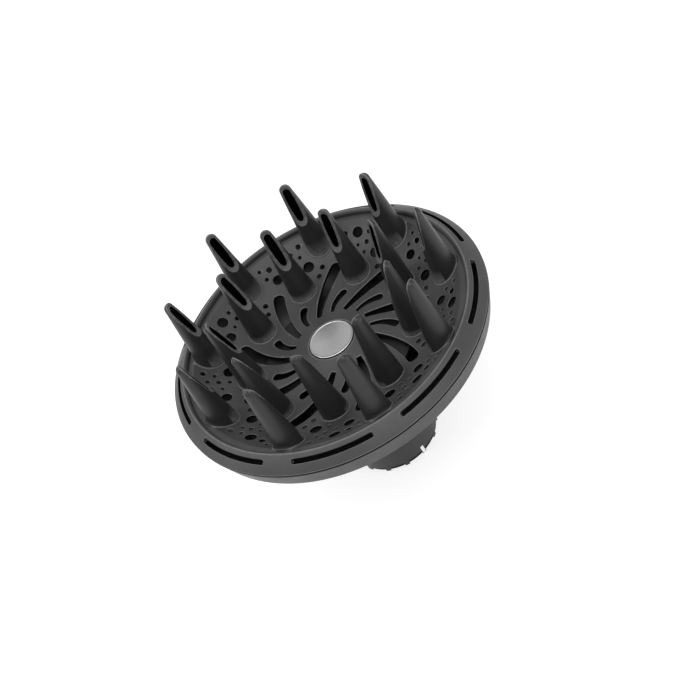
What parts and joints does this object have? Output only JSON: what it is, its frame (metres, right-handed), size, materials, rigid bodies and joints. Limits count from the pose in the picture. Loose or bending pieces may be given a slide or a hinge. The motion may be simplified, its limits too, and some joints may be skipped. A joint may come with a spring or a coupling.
{
  "type": "dryer diffuser",
  "caption": "Bowl diffuser for a hair dryer: perforated swirl-slotted dish with hollow fingers, slotted bezel, funnel bowl and a twist-lock collar.",
  "frame": {"origin": "centre of the collar's mouth, where the diffuser meets the dryer and stands when it is put down", "axes": "+Z along the dish's axis, out through the fingers; -Y is the front, where an outer finger stands"},
  "size_m": [0.16, 0.16, 0.1245],
  "materials": {
    "shell_plastic": "fine moulded grain, dark grey",
    "finger_plastic": "smooth satin, near black",
    "collar_plastic": "fine moulded grain, dark grey",
    "badge_metal": "brushed and clear anodised, no lettering",
    "steel": "zinc plated",
    "black_rubber": "matt",
    "mark_paint": "white inlay"
  },
  "bodies": {
    "diffuser": {"rear_bowl": "shell_plastic", "bezel_ring": "shell_plastic", "face_plate": "shell_plastic", "outer_finger_1": "finger_plastic", "outer_finger_2": "finger_plastic", "outer_finger_3": "finger_plastic", "outer_finger_4": "finger_plastic", "outer_finger_5": "finger_plastic", "outer_finger_6": "finger_plastic", "outer_finger_7": "finger_plastic", "outer_finger_8": "finger_plastic", "outer_finger_9": "finger_plastic", "inner_finger_1": "finger_plastic", "inner_finger_2": "finger_plastic", "inner_finger_3": "finger_plastic", "inner_finger_4": "finger_plastic", "inner_finger_5": "finger_plastic", "inner_finger_6": "finger_plastic", "inner_finger_7": "finger_plastic", "inner_finger_8": "finger_plastic", "inner_finger_9": "finger_plastic", "badge": "badge_metal", "badge_clip": "steel", "air_spreader": "shell_plastic", "spreader_screws": "steel"},
    "collar": {"lock_collar": "collar_plastic", "index_mark": "mark_paint", "grip_band": "black_rubber", "collar_snap_ring": "steel"}
  },
  "joints": [
    {"name": "collar_twist", "type": "hinge", "parent": "diffuser", "child": "collar", "pos_m": [0, 0, 0], "axis": [0, 0, 1], "range_deg": [0, 30]}
  ]
}
